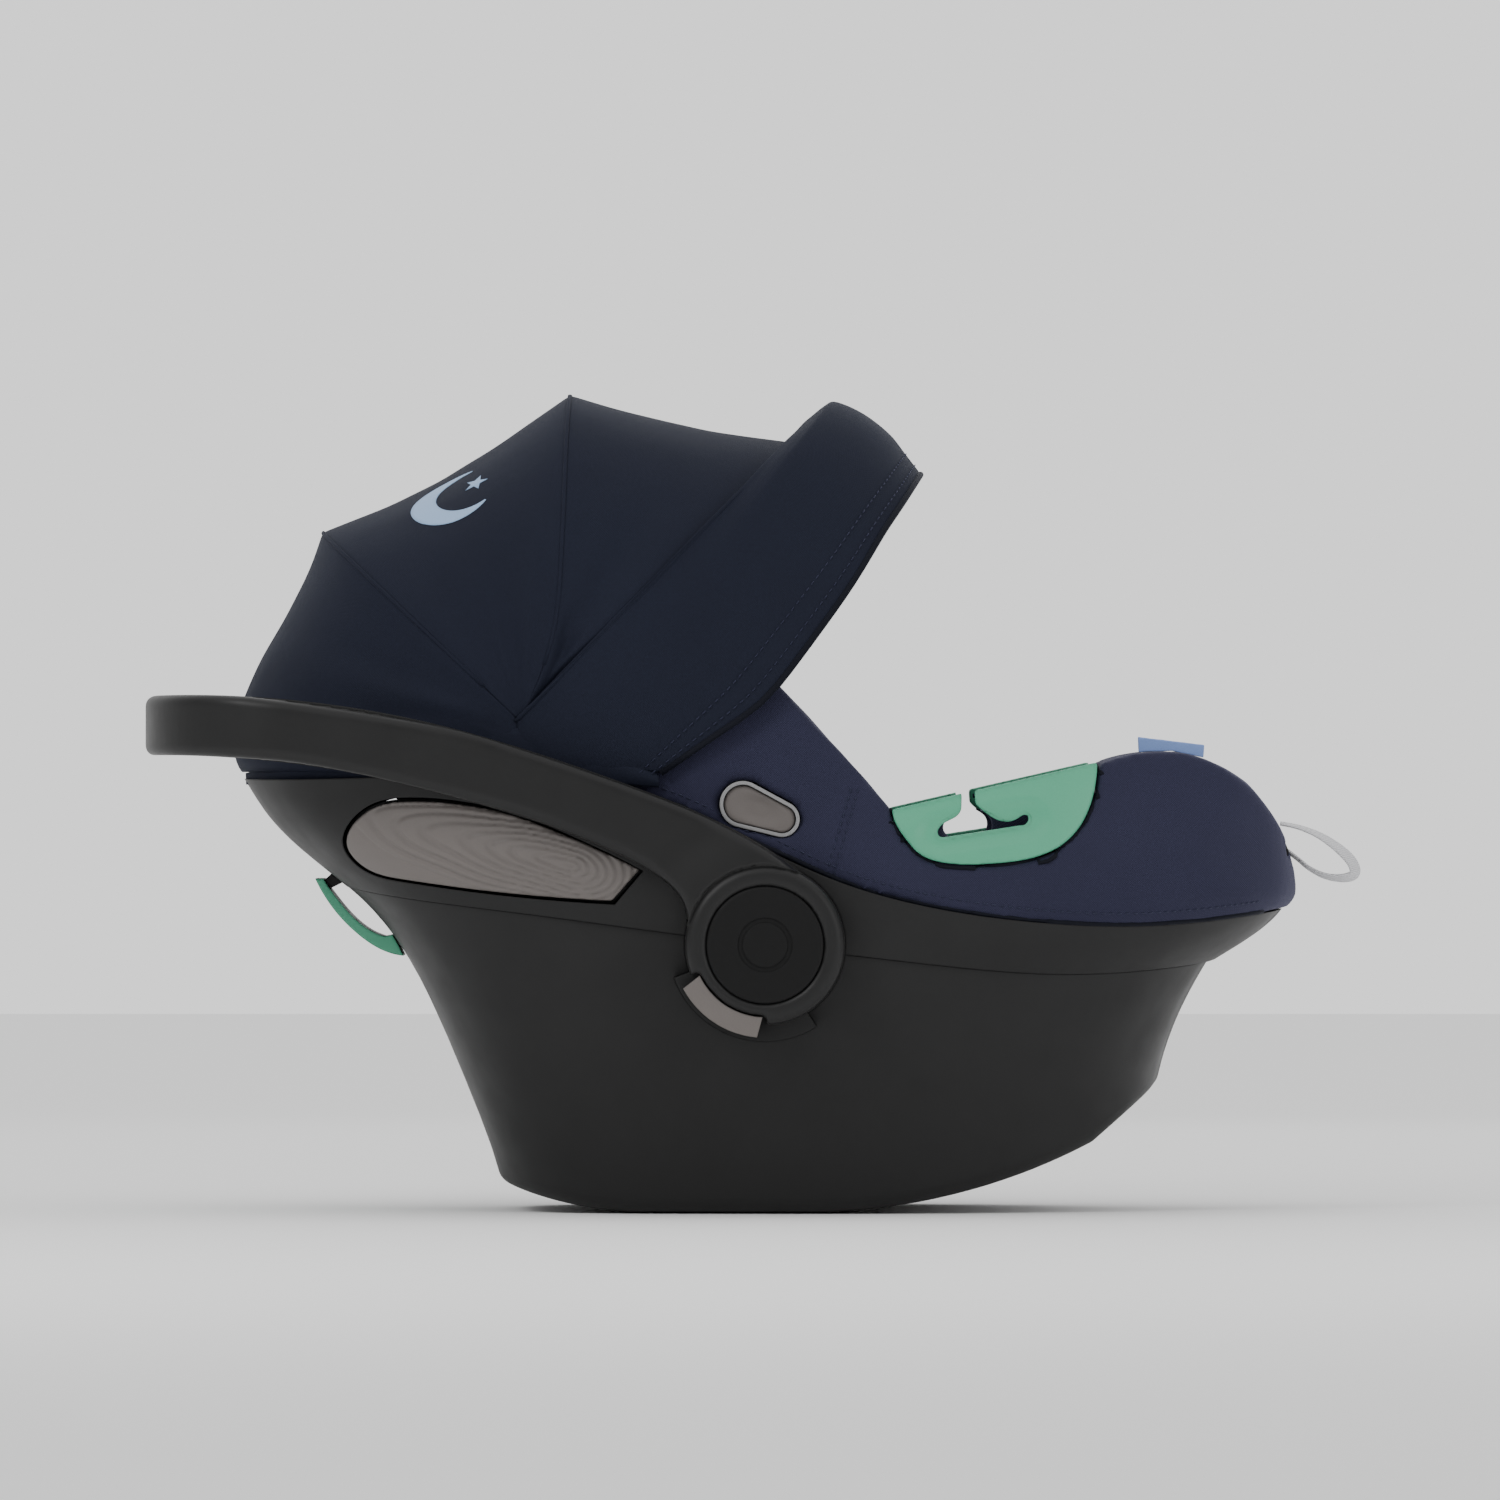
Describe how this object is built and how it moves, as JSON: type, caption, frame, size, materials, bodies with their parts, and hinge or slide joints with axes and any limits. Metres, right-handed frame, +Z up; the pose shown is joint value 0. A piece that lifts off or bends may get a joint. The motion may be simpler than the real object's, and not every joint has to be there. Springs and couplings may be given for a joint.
{
  "type": "infant car seat",
  "caption": "Rear-facing infant carrier: rocking shell with swinging handle, folding canopy, pull-out side guards, belt guides, sliding headrest and child harness.",
  "frame": {"origin": "centre of the bounding box in X and Y, on the surface that the carrier stands on", "axes": "+X towards the child's feet, +Y to the child's left, +Z up"},
  "size_m": [0.7907, 0.436, 0.5334],
  "materials": {
    "shell_plastic": "fine-grained charcoal polypropylene",
    "handle_plastic": "satin charcoal polypropylene",
    "mechanism_plastic": "moulded black plastic",
    "taupe_plastic": "moulded taupe-grey plastic",
    "green_plastic": "semi-gloss sea green plastic",
    "red_plastic": "semi-gloss red plastic",
    "bright_trim": "satin chromed plastic trim",
    "steel": "zinc-plated steel",
    "rubber": "soft black rubber",
    "liner_foam": null,
    "cover_fabric": "dark violet-navy knitted fabric",
    "pad_fabric": "dark padded knit fabric",
    "inlay_fabric": "soft grey knit fabric",
    "canopy_fabric": "dark navy woven fabric",
    "webbing": "black woven webbing",
    "pull_webbing": "off-white woven webbing",
    "label_fabric": "light blue sewn label"
  },
  "bodies": {
    "carrier": {"lower_shell": "shell_plastic", "upper_shell": "shell_plastic", "rocker_pads": "rubber", "base_latch_bars": "steel", "foam_liner": "liner_foam", "seat_cover": "cover_fabric", "seat_pad": "pad_fabric", "newborn_inlay": "inlay_fabric", "hub_mount_left": "shell_plastic", "hub_mount_right": "shell_plastic", "handle_axle_left": "steel", "handle_axle_right": "steel", "lock_gear_left": "mechanism_plastic", "lock_gear_right": "mechanism_plastic", "lock_spring_left": "steel", "lock_spring_right": "steel", "guard_housing_left": "shell_plastic", "guard_housing_right": "shell_plastic", "release_bezel_left": "bright_trim", "release_bezel_right": "bright_trim", "lap_belt_guide_left": "green_plastic", "lap_belt_guide_right": "green_plastic", "shoulder_belt_guide": "green_plastic", "belt_guide_clip": "shell_plastic", "canopy_sockets": "mechanism_plastic", "shoulder_strap_left": "webbing", "shoulder_strap_right": "webbing", "shoulder_pads": "pad_fabric", "buckle_tongues": "steel", "buckle_housing": "mechanism_plastic", "crotch_strap": "webbing", "strap_outlet": "mechanism_plastic", "adjuster_well": "mechanism_plastic", "pull_strap": "pull_webbing", "label_tag": "label_fabric"},
    "handle": {"handle_outer_shell": "handle_plastic", "handle_inner_shell": "handle_plastic", "hub_cap_left": "handle_plastic", "hub_cap_right": "handle_plastic", "handle_screws": "steel"},
    "handle_button_left": {"handle_button_left": "taupe_plastic"},
    "handle_button_right": {"handle_button_right": "taupe_plastic"},
    "canopy_rear": {"canopy_rear_bow": "mechanism_plastic", "canopy_rear_panel": "canopy_fabric"},
    "canopy_mid": {"canopy_mid_bow": "mechanism_plastic", "canopy_mid_panel": "canopy_fabric"},
    "canopy_front": {"canopy_front_bow": "mechanism_plastic", "canopy_visor": "canopy_fabric", "canopy_front_panel": "canopy_fabric"},
    "guard_left": {"side_guard_left": "taupe_plastic"},
    "guard_right": {"side_guard_right": "taupe_plastic"},
    "release_left": {"release_button_left": "taupe_plastic"},
    "release_right": {"release_button_right": "taupe_plastic"},
    "headrest": {"headrest_plate": "mechanism_plastic", "headrest_pad": "pad_fabric"},
    "headrest_grip": {"headrest_handle": "taupe_plastic"},
    "buckle_press": {"buckle_button": "red_plastic"},
    "adjuster_press": {"adjuster_button": "taupe_plastic"}
  },
  "joints": [
    {"name": "handle_swing", "type": "hinge", "parent": "carrier", "child": "handle", "pos_m": [0.0065, 0, 0.175], "axis": [0, 1, 0], "range_deg": [0, 140]},
    {"name": "handle_button_left_press", "type": "slide", "parent": "handle", "child": "handle_button_left", "axis": [0, -1, 0], "range_m": [0, 0.004], "stiffness_N_per_m": 800, "springref_m": -0.002},
    {"name": "handle_button_right_press", "type": "slide", "parent": "handle", "child": "handle_button_right", "axis": [0, 1, 0], "range_m": [0, 0.004], "stiffness_N_per_m": 800, "springref_m": -0.002},
    {"name": "canopy_rear_fold", "type": "hinge", "parent": "carrier", "child": "canopy_rear", "pos_m": [-0.151, 0, 0.3186], "axis": [0, -1, 0], "range_deg": [0, 28.5], "deforming": ["canopy_rear_panel"]},
    {"name": "canopy_mid_fold", "type": "hinge", "parent": "canopy_rear", "child": "canopy_mid", "pos_m": [-0.151, 0, 0.3186], "axis": [0, -1, 0], "range_deg": [0, 46.5], "deforming": ["canopy_mid_panel"]},
    {"name": "canopy_front_fold", "type": "hinge", "parent": "canopy_mid", "child": "canopy_front", "pos_m": [-0.151, 0, 0.3186], "axis": [0, -1, 0], "range_deg": [0, 29], "deforming": ["canopy_front_panel"]},
    {"name": "side_guard_left_slide", "type": "slide", "parent": "carrier", "child": "guard_left", "axis": [0, 1, 0], "range_m": [0, 0.025]},
    {"name": "side_guard_right_slide", "type": "slide", "parent": "carrier", "child": "guard_right", "axis": [0, -1, 0], "range_m": [0, 0.025]},
    {"name": "release_button_left_press", "type": "slide", "parent": "carrier", "child": "release_left", "axis": [0, -1, 0], "range_m": [0, 0.005], "stiffness_N_per_m": 800, "springref_m": -0.002},
    {"name": "release_button_right_press", "type": "slide", "parent": "carrier", "child": "release_right", "axis": [0, 1, 0], "range_m": [0, 0.005], "stiffness_N_per_m": 800, "springref_m": -0.002},
    {"name": "headrest_slide", "type": "slide", "parent": "carrier", "child": "headrest", "axis": [-0.829, 0, 0.5592], "range_m": [0, 0.04]},
    {"name": "headrest_grip_squeeze", "type": "slide", "parent": "headrest", "child": "headrest_grip", "axis": [-0.829, 0, 0.5592], "range_m": [0, 0.004], "stiffness_N_per_m": 800, "springref_m": -0.002},
    {"name": "buckle_button_press", "type": "slide", "parent": "carrier", "child": "buckle_press", "axis": [-0.5592, 0, -0.829], "range_m": [0, 0.003], "stiffness_N_per_m": 800, "springref_m": -0.002},
    {"name": "adjuster_button_press", "type": "slide", "parent": "carrier", "child": "adjuster_press", "axis": [0, 0, -1], "range_m": [0, 0.004], "stiffness_N_per_m": 800, "springref_m": -0.002}
  ],
  "couplings": [
    {"joint": "canopy_mid_fold", "follows": "canopy_rear_fold", "ratio": 1.6315},
    {"joint": "canopy_front_fold", "follows": "canopy_rear_fold", "ratio": 1.0175}
  ]
}
